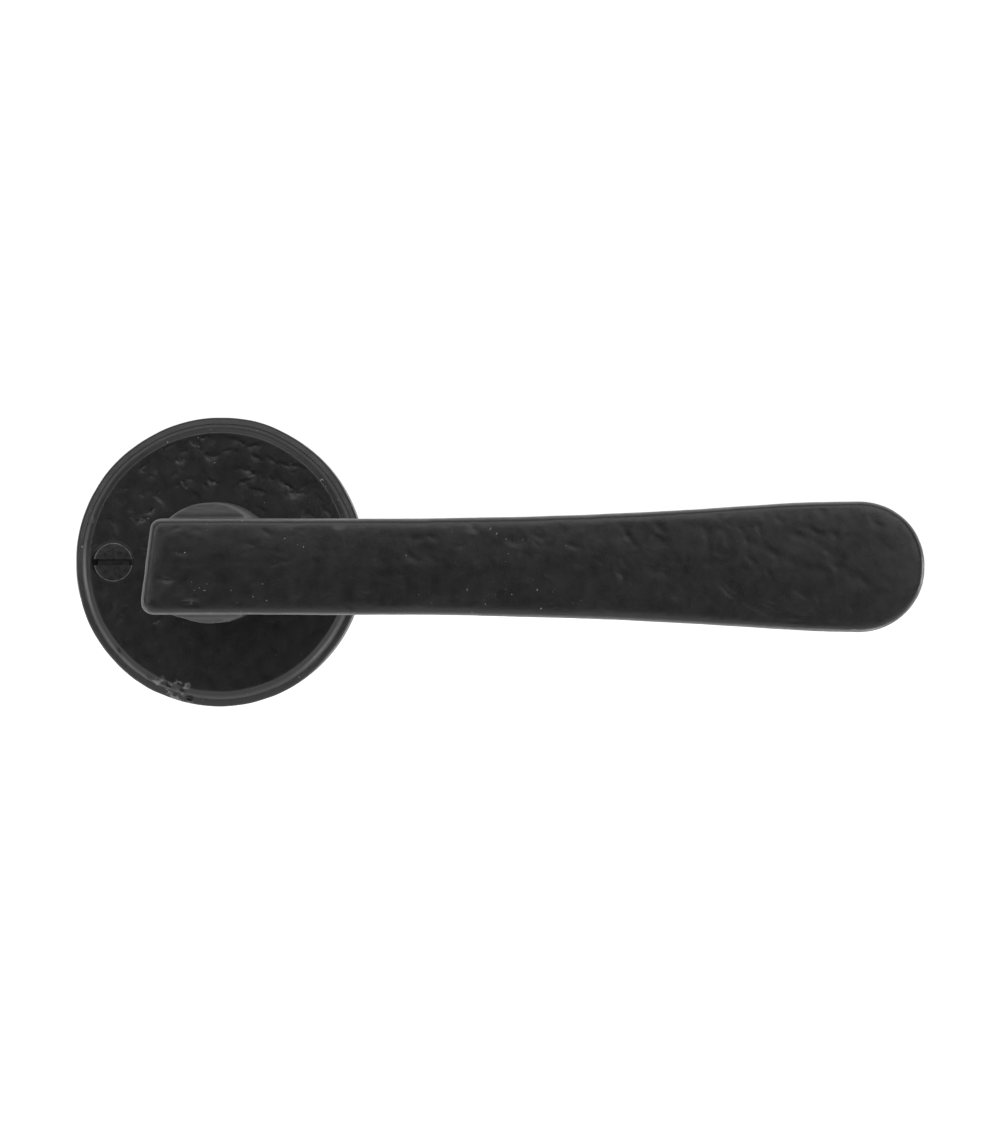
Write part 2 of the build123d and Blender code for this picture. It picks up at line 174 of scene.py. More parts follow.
def make_lamp(name, place, size, power):
    """A soft rectangular lamp that faces the handle."""
    data = bpy.data.lights.new(name, "AREA")
    data.shape = "RECTANGLE"
    data.size, data.size_y = size
    data.energy = power
    lamp = bpy.data.objects.new(name, data)
    lamp.location = place
    look_at(lamp, LAMP_TARGET)
    scene.collection.objects.link(lamp)


def make_world():
    """A pale studio: white behind the handle, dimmer in front, where the camera stands."""
    world = bpy.data.worlds.new("studio")
    scene.world = world
    world.use_nodes = True
    tree = world.node_tree
    tree.nodes.clear()
    place = tree.nodes.new("ShaderNodeTexCoord")
    parts = tree.nodes.new("ShaderNodeSeparateXYZ")
    depth = tree.nodes.new("ShaderNodeMapRange")
    depth.inputs["From Min"].default_value = WORLD_NEAR
    depth.inputs["From Max"].default_value = WORLD_FAR
    depth.inputs["To Min"].default_value = WORLD_FRONT
    curve = tree.nodes.new("ShaderNodeMath")
    curve.operation = "POWER"
    curve.inputs[1].default_value = WORLD_CURVE
    light = tree.nodes.new("ShaderNodeBackground")
    light.inputs["Color"].default_value = (1, 1, 1, 1)
    seen = tree.nodes.new("ShaderNodeBackground")
    seen.inputs["Color"].default_value = (1, 1, 1, 1)
    seen.inputs["Strength"].default_value = WORLD_SEEN
    path = tree.nodes.new("ShaderNodeLightPath")
    mix = tree.nodes.new("ShaderNodeMixShader")
    out = tree.nodes.new("ShaderNodeOutputWorld")
    tree.links.new(place.outputs["Generated"], parts.inputs[0])
    tree.links.new(parts.outputs["Y"], depth.inputs["Value"])
    tree.links.new(depth.outputs["Result"], curve.inputs[0])
    tree.links.new(curve.outputs[0], light.inputs["Strength"])
    tree.links.new(path.outputs["Is Camera Ray"], mix.inputs[0])
    tree.links.new(light.outputs[0], mix.inputs[1])
    tree.links.new(seen.outputs[0], mix.inputs[2])
    tree.links.new(mix.outputs[0], out.inputs[0])


def make_floor():
    """A pale floor that ends in front of the handle, so that it doesn't light its face."""
    mesh = bpy.data.meshes.new("floor")
    reach = FLOOR_REACH
    front = FLOOR_FRONT
    corners = [(-reach, front, 0), (reach, front, 0), (reach, reach, 0), (-reach, reach, 0)]
    mesh.from_pydata(corners, [], [(0, 1, 2, 3)])
    floor = bpy.data.objects.new("floor", mesh)
    floor.location.z = FLOOR_HEIGHT
    scene.collection.objects.link(floor)
    material = bpy.data.materials.new("pale_floor")
    material.use_nodes = True
    shader = material.node_tree.nodes["Principled BSDF"]
    shader.inputs["Base Color"].default_value = (0.92, 0.92, 0.92, 1)
    shader.inputs["Roughness"].default_value = 0.9
    shader.inputs["Emission Color"].default_value = (1, 1, 1, 1)
    tree = material.node_tree
    path = tree.nodes.new("ShaderNodeLightPath")
    glow = tree.nodes.new("ShaderNodeMapRange")
    glow.inputs["To Min"].default_value = FLOOR_GLOW
    glow.inputs["To Max"].default_value = FLOOR_GLOW_SEEN
    tree.links.new(path.outputs["Is Camera Ray"], glow.inputs["Value"])
    tree.links.new(glow.outputs["Result"], shader.inputs["Emission Strength"])
    mesh.materials.append(material)


# ---------------------------------------------------------------- mesh tools, all in mm
SHARP_ANGLE = 38
CUT_REACH = 40.0  # how far a cutting box goes past what it cuts
OVERCUT = 2.0  # how far a round cutter goes past a surface that the casting made rough


def mesh_object(name, points, faces):
    """A mesh from points (x, z, height), kept in millimetres for now."""
    mesh = bpy.data.meshes.new(name)
    mesh.from_pydata([(x, -height, z) for x, z, height in points], [], faces)
    made = bpy.data.objects.new(name, mesh)
    scene.collection.objects.link(made)
    fix_normals(made)
    return made


def fix_normals(thing):
    """Turns every face outwards."""
    shell = bmesh.new()
    shell.from_mesh(thing.data)
    bmesh.ops.remove_doubles(shell, verts=shell.verts, dist=1e-5)
    bmesh.ops.recalc_face_normals(shell, faces=shell.faces)
    shell.to_mesh(thing.data)
    shell.free()


def lathe(name, profile, steps, centre=(0, 0)):
    """A closed (radius, height) outline turned about an axis out of the door."""
    count = len(profile)
    points = []
    for step in range(steps):
        turn = 2 * math.pi * step / steps
        for radius, height in profile:
            x = centre[0] + radius * math.cos(turn)
            z = centre[1] + radius * math.sin(turn)
            points.append((x, z, height))
    faces = []
    for step in range(steps):
        here = step * count
        there = (step + 1) % steps * count
        for i in range(count):
            j = (i + 1) % count
            faces.append((here + i, here + j, there + j, there + i))
    return mesh_object(name, points, faces)


def box_solid(name, low, high):
    """A box between two (x, z, height) corners."""
    points = [(x, z, h) for x in (low[0], high[0]) for z in (low[1], high[1]) for h in (low[2], high[2])]
    faces = [(0, 1, 3, 2), (4, 6, 7, 5), (0, 4, 5, 1), (2, 3, 7, 6), (0, 2, 6, 4), (1, 5, 7, 3)]
    return mesh_object(name, points, faces)


def rod(name, radius, low, high, centre=(0, 0), steps=48):
    """A round rod out of the door between two heights."""
    return lathe(name, [(0, low), (radius, low), (radius, high), (0, high)], steps, centre)


def settle(thing):
    """Makes a thing's modifiers permanent."""
    graph = bpy.context.evaluated_depsgraph_get()
    mesh = bpy.data.meshes.new_from_object(thing.evaluated_get(graph))
    thing.modifiers.clear()
    thing.data = mesh


def combine(thing, others, operation):
    """Adds other solids to a thing, or cuts them out of it, and throws them away."""
    for other in others:
        modifier = thing.modifiers.new("combine", "BOOLEAN")
        modifier.operation = operation
        modifier.solver = "EXACT"
        modifier.object = other
    settle(thing)
    for other in others:
        bpy.data.objects.remove(other)


def points_of(thing):
    """The points as rows of x, z and height."""
    flat = np.empty(3 * len(thing.data.vertices))
    thing.data.vertices.foreach_get("co", flat)
    rows = flat.reshape(-1, 3)
    return np.column_stack((rows[:, 0], rows[:, 2], -rows[:, 1]))


def move_points(thing, rows):
    """Puts the points at new x, z and height rows."""
    flat = np.column_stack((rows[:, 0], -rows[:, 2], rows[:, 1])).ravel()
    thing.data.vertices.foreach_set("co", flat)
    thing.data.update()


def normals_of(thing):
    """Outward directions at the points, as rows of x, z and height."""
    flat = np.empty(3 * len(thing.data.vertices))
    thing.data.vertex_normals.foreach_get("vector", flat)
    rows = flat.reshape(-1, 3)
    return np.column_stack((rows[:, 0], rows[:, 2], -rows[:, 1]))


def swell(rows, wavelength, seed):
    """Smooth seeded noise from about -1 to 1 at each point."""
    shift = Vector((seed * 7.3, seed * 3.1, seed * 5.7))
    scaled = rows / wavelength
    return np.array([noise.noise(Vector(row) + shift) for row in scaled])


def rise(values, low, high):
    """0 up to low, 1 from high on, and even in between."""
    return np.clip((values - low) / (high - low), 0, 1)


def torn_places(rows, wavelength, reach, seeds):
    """The points shifted a little by noise in x and z, which tears the edges of what is drawn there."""
    torn = rows.copy()
    torn[:, 0] += reach * swell(rows, wavelength, seeds[0])
    torn[:, 1] += reach * swell(rows, wavelength, seeds[1])
    return torn


def along_and_beside(rows, middle, angle):
    """Each point's distance from a mark's middle, along and beside the mark."""
    across = rows[:, 0] - middle[0]
    up = rows[:, 1] - middle[1]
    along = across * math.cos(angle) + up * math.sin(angle)
    beside = up * math.cos(angle) - across * math.sin(angle)
    return along, beside


def bowl(rows, middle, size, angle, depth):
    """One shallow dent with a faint lip; size is its half length and half width."""
    along, beside = along_and_beside(rows, middle, angle)
    reach = (along / size[0]) ** 2 + (beside / size[1]) ** 2
    inside = np.exp(-1.5 * reach)
    lip = reach * np.exp(-1.3 * reach)
    return depth * (0.35 * lip - inside)


def fold(rows, middle, size, angle, depth, softness=0.3):
    """A sharp drop along one line that rises gently back below it; softness is the drop's width."""
    along, beside = along_and_beside(rows, middle, angle)
    below = -beside
    drop = 0.5 * (1 + np.tanh(below / softness)) * np.exp(-np.clip(below, 0, None) / size[1])
    return -depth * drop * np.exp(-((along / size[0]) ** 2))


def piece(name, thing, body, material, replaced):
    """Turns a finished solid into a shown piece that rides on a body."""
    thing.name = name
    thing.data.transform(Matrix.Scale(MM, 4))
    thing.data.materials.clear()
    thing.data.materials.append(material)
    smooth = [True] * len(thing.data.polygons)
    thing.data.polygons.foreach_set("use_smooth", smooth)
    thing.data.set_sharp_from_angle(angle=math.radians(SHARP_ANGLE))
    if body:
        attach(thing, body)
    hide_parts(replaced)


def round_arc(middle, radius, first, last, steps):
    """Points on an arc of a (radius, height) outline; angles in degrees."""
    made = []
    for step in range(steps + 1):
        angle = math.radians(first + (last - first) * step / steps)
        made.append((middle[0] + radius * math.cos(angle), middle[1] + radius * math.sin(angle)))
    return made


def spaced(start, end, step):
    """Even places from start towards end, without the end."""
    count = max(1, round(abs(end - start) / step))
    return [start + (end - start) * i / count for i in range(count)]


# ---------------------------------------------------------------- materials
class Nodes:
    """A short way to write a material's node tree, with places in millimetres."""

    def __init__(self, name):
        self.material = bpy.data.materials.new(name)
        self.material.use_nodes = True
        self.tree = self.material.node_tree
        self.shader = self.tree.nodes["Principled BSDF"]
        place = self.tree.nodes.new("ShaderNodeTexCoord").outputs["Object"]
        self.place = self.add("VectorMath", {"operation": "SCALE"}, _0=place, Scale=1 / MM).outputs[0]

    def add(self, kind, settings=None, **inputs):
        """A node with its properties set, and its inputs set or linked by name or number."""
        node = self.tree.nodes.new("ShaderNode" + kind)
        for key, value in (settings or {}).items():
            setattr(node, key, value)
        for key, value in inputs.items():
            name = key.replace("__", " ")
            self.put(node, int(key[1:]) if key.startswith("_") else name, value)
        return node

    def put(self, node, key, value):
        """Links a value to a node's input, or sets it there when it is a plain one."""
        socket = node.inputs[key]
        if isinstance(value, bpy.types.NodeSocket):
            self.tree.links.new(value, socket)
        else:
            socket.default_value = value

    def noise(self, size, detail=4.0, roughness=0.55, stretch=(1, 1, 1)):
        """Noise with features of about this size, longer along the stretched axes."""
        scale = tuple(1 / (size * part) for part in stretch)
        place = self.add("Mapping", None, Vector=self.place, Scale=scale).outputs[0]
        made = self.add("TexNoise", None, Vector=place, Scale=1.0, Detail=detail, Roughness=roughness)
        return made.outputs["Fac"]

    def ramp(self, value, low, high, start, end):
        """value between low and high becomes start to end."""
        made = self.add(
            "MapRange", None, Value=value, From__Min=low, From__Max=high, To__Min=start, To__Max=end
        )
        return made.outputs["Result"]

    def calc(self, operation, first, second=0.0):
        """A sum on two values, or on the first alone."""
        return self.add("Math", {"operation": operation}, _0=first, _1=second).outputs[0]

    def plus(self, first, second):
        return self.calc("ADD", first, second)

    def times(self, first, second):
        return self.calc("MULTIPLY", first, second)

    def axes(self):
        """The place's x, z and height."""
        parts = self.add("SeparateXYZ", None, _0=self.place)
        return parts.outputs[0], parts.outputs[2], self.times(parts.outputs[1], -1.0)

    def mix(self, share, dark, light):
        """The colour between dark (share 0) and light (share 1)."""
        return self.add("Mix", {"data_type": "RGBA"}, _0=share, _6=dark, _7=light).outputs[2]

    def bump(self, height, depth):
        """Bumps the surface by height times depth in millimetres."""
        made = self.add("Bump", None, Height=height, Strength=1.0, Distance=depth * MM)
        self.put(self.shader, "Normal", made.outputs[0])


COAT_DARK = 0.0052
COAT_LIGHT = 0.0071
SPECK_GREY = 0.35
SPECK_SHARE = 0.8
FLASH_GREY = 0.13
FLASH_MIDDLE = -9.0
FLASH_HALF = 3.0
FLASH_FADE = (-20.0, -22.0)  # z over which it comes in
NECK_GROUND_AND_SHEEN_GREYS = (0.022, 0.045)  # the ground neck's streaks, painted lighter as a sheen for the light its sides catch
# painted shade: the neck's underside is coloured darker where less light falls on it
NECK_UNDERSIDE_SHADE_GREY = 0.01
NECK_SHADE_FADE = (-8.0, -6.0)  # z over which the painted shade on the underside goes over into the ground grey with its painted sheen
NECK_SIDE = (11.2, 11.6)  # x over which the ground grey ends
SPECK_FADE = (55.0, 70.0)  # x over which the bar's specks die out towards the paddle
# painted highlight on the screw heads' edges
SCREW_EDGE_HIGHLIGHT_GREY = 0.13


def grey(value, tint=0.0):
    """A grey as a colour, a little warmer (+) or cooler (-) by tint."""
    return (value * (1 + tint), value, value * (1 - tint), 1)


def rubbed_flash(made, dark, speck):
    """The rose's colour: specks, and lumps of flash rubbed bright low on the left of its rim."""
    colour = made.mix(made.times(speck, SPECK_SHARE), dark, grey(SPECK_GREY))
    x, z, _ = made.axes()
    across = made.calc("SUBTRACT", x, FLASH_MIDDLE)
    near = made.times(
        made.ramp(across, -1.5 * FLASH_HALF, -FLASH_HALF, 0, 1),
        made.ramp(across, FLASH_HALF, 1.5 * FLASH_HALF, 1, 0),
    )
    near = made.times(near, made.ramp(z, *FLASH_FADE, 0, 1))
    rubbed = made.times(near, made.ramp(made.noise(1.6, 2.0), 0.58, 0.64, 0, 1))
    return made.mix(rubbed, colour, grey(FLASH_GREY))


def neck_ground_with_painted_light(made, dark, speck, rough, fine):
    """The lever's colour, roughness and relief: the neck below the bar is ground grey and streaky,
    painted lighter as a sheen, with painted shade on its underside.
    """
    x, z, height = made.axes()
    speckled = made.times(speck, made.ramp(x, *SPECK_FADE, SPECK_SHARE, 0))
    colour = made.mix(speckled, dark, grey(SPECK_GREY))
    below_bar = made.ramp(height, BAR_BACK, BAR_BACK + 0.4, 1, 0)
    neck = made.times(below_bar, made.ramp(x, *NECK_SIDE, 1, 0))
    streak = made.noise(0.22, 2.0, 0.5, (12, 3, 1))
    # The streaks are ground grey lightened as a painted sheen; low on the neck they go over into painted
    # shade on the underside
    upper = made.mix(made.ramp(streak, 0.3, 0.7, 0, 1), grey(NECK_GROUND_AND_SHEEN_GREYS[0]), grey(NECK_GROUND_AND_SHEEN_GREYS[1]))
    wear_and_painted_light = made.mix(made.ramp(z, *NECK_SHADE_FADE, 0, 1), grey(NECK_UNDERSIDE_SHADE_GREY), upper)
    colour = made.mix(neck, colour, wear_and_painted_light)
    rough = made.plus(rough, made.times(neck, 0.2))
    fine = made.plus(fine, made.times(neck, made.ramp(streak, 0, 1, 0, 0.8)))
    return colour, rough, fine


def iron_coat(name, neck_ground_and_sheen=False):
    """Satin black coat over rough iron, rubbed on the rose's rim, or on the lever's neck ground grey
    with a painted sheen and painted shade underneath.
    """
    made = Nodes(name)
    cloud = made.ramp(made.noise(9.0, 3.0), 0.3, 0.7, 0, 1)
    dark = made.mix(cloud, grey(COAT_DARK, -0.02), grey(COAT_LIGHT, -0.01))
    speck = made.ramp(made.noise(0.5, 1.0), 0.75, 0.78, 0.0, 1.0)
    speck = made.times(speck, made.ramp(made.noise(11.0, 2.0), 0.5, 0.58, 0.0, 1.0))
    rough = made.ramp(made.noise(2.2, 5.0), 0.25, 0.75, 0.31, 0.44)
    grain = made.ramp(made.noise(0.35, 3.0, 0.6), 0, 1, 0, 0.35)
    fine = made.plus(grain, made.ramp(made.noise(1.6, 4.0), 0, 1, 0, 1.0))
    if neck_ground_and_sheen:
        colour, rough, fine = neck_ground_with_painted_light(made, dark, speck, rough, fine)
    else:
        colour = rubbed_flash(made, dark, speck)
    made.put(made.shader, "Base Color", colour)
    made.put(made.shader, "Roughness", rough)
    made.put(made.shader, "Specular IOR Level", 0.5)
    made.bump(fine, 0.035)
    return made.material


def bare_metal(name, dark, light, tint, rough_low, rough_high, grain):
    """A bare or plated metal, cloudy over a few millimetres and finely grained."""
    made = Nodes(name)
    share = made.ramp(made.noise(3.5, 5.0), 0.3, 0.7, 0, 1)
    made.put(made.shader, "Base Color", made.mix(share, grey(dark, tint), grey(light, tint)))
    made.put(made.shader, "Metallic", 1.0)
    made.put(made.shader, "Roughness", made.ramp(made.noise(1.1, 5.0), 0.3, 0.7, rough_low, rough_high))
    made.bump(made.noise(0.25, 3.0, 0.5, grain), 0.01)
    return made.material


def milky_nylon():
    """The neck washer: pale, slightly cloudy plastic."""
    made = Nodes("nylon")
    share = made.ramp(made.noise(4.0, 3.0), 0.3, 0.7, 0, 1)
    made.put(made.shader, "Base Color", made.mix(share, grey(0.62, 0.03), grey(0.7, 0.03)))
    made.put(made.shader, "Roughness", made.ramp(made.noise(1.0, 3.0), 0.3, 0.7, 0.38, 0.5))
    made.put(made.shader, "Subsurface Weight", 0.15)
    made.bump(made.noise(0.5, 2.0), 0.01)
    return made.material


def black_oxide():
    """Screws: thin black finish, rubbed grey in patches, with a painted highlight, broken into worn
    patches, around the head's edge.
    """
    made = Nodes("black_screw")
    share = made.ramp(made.noise(0.9, 5.0), 0.45, 0.75, 0, 1)
    dark = made.mix(share, grey(0.008), grey(0.024))
    x, z, _ = made.axes()
    across = made.calc("SUBTRACT", made.calc("ABSOLUTE", x), SCREW_CENTRES)
    away = made.calc("SQRT", made.plus(made.times(across, across), made.times(z, z)))
    # A bright ring on the head's edge: a painted highlight, broken into worn patches
    edge = made.ramp(away, SCREW_HEAD_RADIUS - 0.28, SCREW_HEAD_RADIUS - 0.2, 0, 1)
    wear_and_painted_light = made.times(edge, made.ramp(made.noise(1.2, 3.0), 0.3, 0.6, 0.3, 1.0))
    made.put(made.shader, "Base Color", made.mix(wear_and_painted_light, dark, grey(SCREW_EDGE_HIGHLIGHT_GREY)))
    made.put(made.shader, "Roughness", made.ramp(made.noise(0.7, 4.0), 0.3, 0.7, 0.3, 0.46))
    made.bump(made.noise(0.3, 3.0), 0.012)
    return made.material


materials = {
    "black_iron": iron_coat("black_iron"),
    "lever_iron": iron_coat("lever_iron", neck_ground_and_sheen=True),
    "black_screw": black_oxide(),
    "zinc_steel": bare_metal("zinc_steel", 0.42, 0.5, -0.015, 0.28, 0.36, (6, 6, 1)),
    "spring_steel": bare_metal("spring_steel", 0.09, 0.17, 0.02, 0.3, 0.44, (1, 1, 1)),
    "bush_bronze": bare_metal("bush_bronze", 0.4, 0.5, 0.32, 0.22, 0.36, (1, 1, 6)),
    "nylon": milky_nylon(),
}

# ---------------------------------------------------------------- rose
# The larger pits in the rose's face, sharp above and fading below: x, z, half length, width,
# angle and depth
ROSE_PITS = (
    (-7.0, 18.4, 1.0, 0.8, 10, 0.22),
    (-9.3, 20.8, 1.2, 0.8, 30, 0.16),
    (-4.5, 21.6, 1.3, 0.5, -35, 0.16),
    (-13.9, 17.0, 1.0, 0.7, 40, 0.2),
    (-1.6, 19.3, 1.3, 0.6, 5, 0.18),
    (-1.1, 14.6, 1.0, 0.8, -20, 0.24),
    (3.4, 21.8, 1.5, 0.5, -20, 0.18),
    (6.4, 21.0, 1.3, 0.6, 10, 0.16),
    (6.9, 18.9, 1.0, 0.5, -25, 0.18),
    (5.7, 16.4, 1.3, 0.6, -40, 0.18),
    (4.5, 14.6, 1.9, 1.3, 25, 0.18),
    (7.0, 13.0, 1.6, 1.0, -20, 0.16),
    (12.8, 17.6, 2.2, 0.9, -8, 0.22),
    (12.4, 13.9, 2.0, 0.9, -35, 0.24),
    (14.0, 12.6, 1.8, 0.7, -5, 0.20),
    (-10.7, 11.4, 1.6, 0.5, -45, 0.18),
    (-12.5, 9.3, 1.3, 0.7, 25, 0.22),
    (-14.1, 7.8, 1.0, 0.9, 15, 0.22),
    (-18.6, 6.6, 1.6, 0.4, -60, 0.18),
    (-18.8, -7.2, 1.9, 0.6, 60, 0.14),
    (-18.0, -10.0, 1.6, 0.6, 50, 0.12),
    (-11.2, -11.0, 1.0, 0.6, 20, 0.16),
    (19.5, 9.0, 1.2, 0.5, -50, 0.14),
)
# Lumps of flash low on the left of the rim (depth below 0) and a nick on its left
RIM_LUMPS = (
    (-12.6, -20.9, 1.4, 0.4, -30, -0.45),
    (-9.6, -22.4, 1.5, 0.4, -25, -0.6),
    (-6.6, -23.4, 1.0, 0.5, -50, -0.6),
    (-5.4, -24.9, 0.8, 0.4, 0, -0.4),
    (-18.2, -16.2, 1.2, 0.35, -45, -0.35),
    (-23.2, 7.4, 0.9, 0.5, 60, 0.3),
)
# How the rim strays from a circle: waves in a turn, height and phase of each
RIM_WAVES = ((2, 0.10, -0.6), (5, 0.05, 1.0), (11, 0.03, 0.0))
RIM_INSET = 0.06  # keeps the wavy rim inside the rose's radius
SMALL_PITS = 150
SMALL_PITS_FROM = 11.5  # they lie between these two radii
SMALL_PITS_TO = 23.0
SMALL_PITS_SEED = 11
FRONT_LOW = 8.0  # the rose's front side, face and rim, is above this height
FRONT_HIGH = 9.0
ROSE_STEPS = 720
ROSE_GRAIN = 0.2
SHOULDER_SWELL = 1.9  # 1 is a straight shoulder, more bulges it outwards


def rose_outline():
    """The rose's closed (radius, height) outline, finer where it is seen."""
    made = [(BUSH_RADIUS, CHAMBER_ROOF), (BUSH_RADIUS, ROSE_HEIGHT - FLANGE_THICKNESS)]
    made += [(FLANGE_RADIUS, ROSE_HEIGHT - FLANGE_THICKNESS)]
    face_end = ROSE_FACE_RADIUS - ROSE_ROUNDING / 2
    made += [(radius, ROSE_HEIGHT) for radius in spaced(FLANGE_RADIUS, face_end, ROSE_GRAIN)]
    slope = math.atan2(ROSE_HEIGHT - ROSE_RIM_HEIGHT, ROSE_STEP_RADIUS - ROSE_FACE_RADIUS)
    middle = (face_end, ROSE_HEIGHT - ROSE_ROUNDING)
    made += round_arc(middle, ROSE_ROUNDING, 90, 90 - math.degrees(slope), 4)
    last = made[-1]
    for share in (0.25, 0.5, 0.75):
        fall = share**SHOULDER_SWELL
        radius = last[0] + (ROSE_STEP_RADIUS - last[0]) * share
        made.append((radius, last[1] + (ROSE_RIM_HEIGHT - last[1]) * fall))
    made.append((ROSE_STEP_RADIUS, ROSE_RIM_HEIGHT))
    made.append((ROSE_STEP_RADIUS + 0.25, ROSE_RIM_HEIGHT - 0.08))
    middle = (ROSE_RADIUS - ROSE_ROUNDING, ROSE_RIM_HEIGHT - ROSE_ROUNDING - 0.14)
    made += round_arc(middle, ROSE_ROUNDING, 75, 0, 5)
    made += [(ROSE_RADIUS, height) for height in spaced(middle[1] - 0.5, 0, 1.0)]
    made += [(ROSE_RADIUS - 0.15, 0), (PLATE_RECESS_RADIUS, 0), (PLATE_RECESS_RADIUS, PLATE_THICKNESS)]
    made += [(CHAMBER_RADIUS, PLATE_THICKNESS), (CHAMBER_RADIUS, CHAMBER_ROOF)]
    return made


def pitted(torn):
    """How far the larger pits and the random small ones sink the rose's face."""
    sink = np.zeros(len(torn))
    for x, z, long, wide, angle, depth in ROSE_PITS:
        sink += fold(torn, (x, z), (0.8 * long, wide), math.radians(angle), 1.2 * depth, 0.1)
    dice = random.Random(SMALL_PITS_SEED)
    for _ in range(SMALL_PITS):
        angle = dice.uniform(0, 2 * math.pi)
        reach = math.sqrt(dice.uniform(SMALL_PITS_FROM**2, SMALL_PITS_TO**2))
        middle = (reach * math.cos(angle), reach * math.sin(angle))
        # The upper half of the face has more pits, and deeper ones
        upper = 0.5 + 0.5 * math.sin(angle)
        if dice.random() > 0.25 + 0.75 * upper:
            continue
        size = dice.uniform(0.3, 0.7)
        depth = dice.uniform(0.05, 0.16) * (0.3 + 0.7 * upper)
        tilt = math.radians(dice.gauss(0, 35))
        sink += fold(torn, middle, (size * dice.uniform(1, 2), size), tilt, depth, 0.12)
    return sink


def roughen_rose(thing):
    """Cast waviness of the face and rim, the pits, and the lumps and nick on the rim."""
    rows = points_of(thing)
    radius = np.hypot(rows[:, 0], rows[:, 1])
    turn = np.arctan2(rows[:, 1], rows[:, 0])
    flat = np.column_stack((rows[:, :2], np.zeros(len(rows))))
    torn = torn_places(flat, 0.7, 0.35, (8, 9))
    sink = 0.10 * swell(flat, 7.0, 1) + 0.035 * swell(flat, 2.6, 2) + pitted(torn)
    on_front = rise(rows[:, 2], FRONT_LOW, FRONT_HIGH)
    rows[:, 2] += sink * on_front * rise(radius, FLANGE_RADIUS, FLANGE_RADIUS + 1.5)
    around = np.column_stack((np.cos(turn), np.sin(turn), np.zeros(len(turn))))
    wave = 0.05 * swell(around * 9, 1.0, 4)
    for count, tall, phase in RIM_WAVES:
        wave += tall * np.sin(count * turn + phase)
    grown = (wave - RIM_INSET) * rise(radius, 22.0, 24.0) * rise(rows[:, 2], 0, 3)
    rows[:, :2] *= (1 + grown / ROSE_RADIUS)[:, None]
    lumps = np.zeros(len(rows))
    for x, z, long, wide, angle, depth in RIM_LUMPS:
        lumps += bowl(torn, (x, z), (long, wide), math.radians(angle), depth)
    rows[:, 2] += lumps * rise(rows[:, 2], FRONT_LOW, FRONT_HIGH)
    move_points(thing, rows)


def make_rose():
    """The cast cover, with its holes cut sharp after the casting is rough."""
    thing = lathe("rose_cast", rose_outline(), ROSE_STEPS)
    roughen_rose(thing)
    cone = COUNTERSINK_RADIUS - SCREW_HOLE_RADIUS
    outline = [
        (0, -OVERCUT),
        (SCREW_HOLE_RADIUS, -OVERCUT),
        (SCREW_HOLE_RADIUS, ROSE_HEIGHT - cone),
        (COUNTERSINK_RADIUS, ROSE_HEIGHT),
        (COUNTERSINK_RADIUS, ROSE_HEIGHT + OVERCUT),
        (0, ROSE_HEIGHT + OVERCUT),
    ]
    cutters = []
    for side in (-1, 1):
        cutters.append(lathe("countersink", outline, 96, (side * SCREW_CENTRES, 0)))
        screw = (0, side * SCREW_CENTRES)
        cutters.append(rod("screw_hole", PLATE_SCREW_RADIUS, 0, PLATE_SCREW_END, screw))
        pin = (side * ANCHOR_PIN_ACROSS, LEG_END - ANCHOR_PIN_RADIUS)
        pin_end = CHAMBER_ROOF + ANCHOR_PIN_SEAT
        cutters.append(rod("pin_hole", ANCHOR_PIN_RADIUS, CHAMBER_ROOF - OVERCUT, pin_end, pin))
    combine(thing, cutters, "DIFFERENCE")
    piece("rose_cast", thing, "rose_side", materials["black_iron"], "rose")


# ---------------------------------------------------------------- lever
LEVER_VOXEL = 0.33
# Marks of the hammer's edge, most of them on the paddle: x, z, half length, width, angle, depth
PADDLE_MARKS = (
    (72.5, 5.5, 2.2, 1.6, -50, 0.20),
    (78.0, 5.0, 1.6, 1.2, -30, 0.18),
    (77.5, -0.2, 2.6, 1.2, -5, 0.20),
    (65.0, 0.8, 2.2, 1.0, -8, 0.10),
    (68.5, -7.8, 2.4, 1.0, -10, 0.12),
    (86.2, 3.8, 2.2, 1.2, -75, 0.22),
    (88.0, 1.0, 2.0, 1.0, 0, 0.18),
    (89.5, -3.6, 2.4, 1.4, -60, 0.20),
    (93.0, -6.8, 3.0, 1.4, -38, 0.14),
    (97.0, 3.0, 2.0, 1.2, -50, 0.18),
    (99.5, 1.8, 1.8, 1.0, -15, 0.16),
    (103.6, 6.6, 2.4, 1.2, -25, 0.14),
    (101.5, -8.0, 2.2, 1.2, -20, 0.16),
    (104.8, -5.0, 2.4, 1.4, -65, 0.22),
    (109.0, 0.2, 2.4, 1.4, -45, 0.16),
    (112.5, -1.8, 2.2, 1.0, -35, 0.20),
    (115.5, 5.0, 1.6, 1.0, -40, 0.12),
    (83.5, -5.8, 1.4, 1.0, 70, 0.10),
    (5.0, 1.0, 3.0, 1.4, 5, 0.10),
    (24.5, 3.5, 2.0, 1.2, -30, 0.09),
    (52.0, -3.0, 2.4, 1.4, -12, 0.08),
)
MARK_SHARE = 0.65  # how much of each listed depth the coat leaves
BAR_DROP = 0.6  # the bar sits a little below the neck's middle
PILLOW = 0.7  # how far the front falls at its outline
PILLOW_REACH = 4.0
FRONT_EDGE = 1.3
EDGE_POWER = 3  # 2 leaves the front edge round, more makes it sharper
EDGE_DEPTH = 2.9  # how deep the edge's rounding reaches down the sides
END_FALL = 0.6  # how far the front falls away at the heel
END_FALL_START = 3.5
HEEL_LEAN = 0.8  # how much further left the heel's foot stands
PADDLE_CENTRE = 112.15
PADDLE_RADIUS = 11.15
FLARE_START = 22.0
BAR_END_TOP = -9.4
BAR_END_FOOT = -10.7
BAR_GROWTH = 0.10  # the cast skin on the bar, which the smoothing had taken away
SMALL_MARKS = 260
SMALL_MARKS_SEED = 23
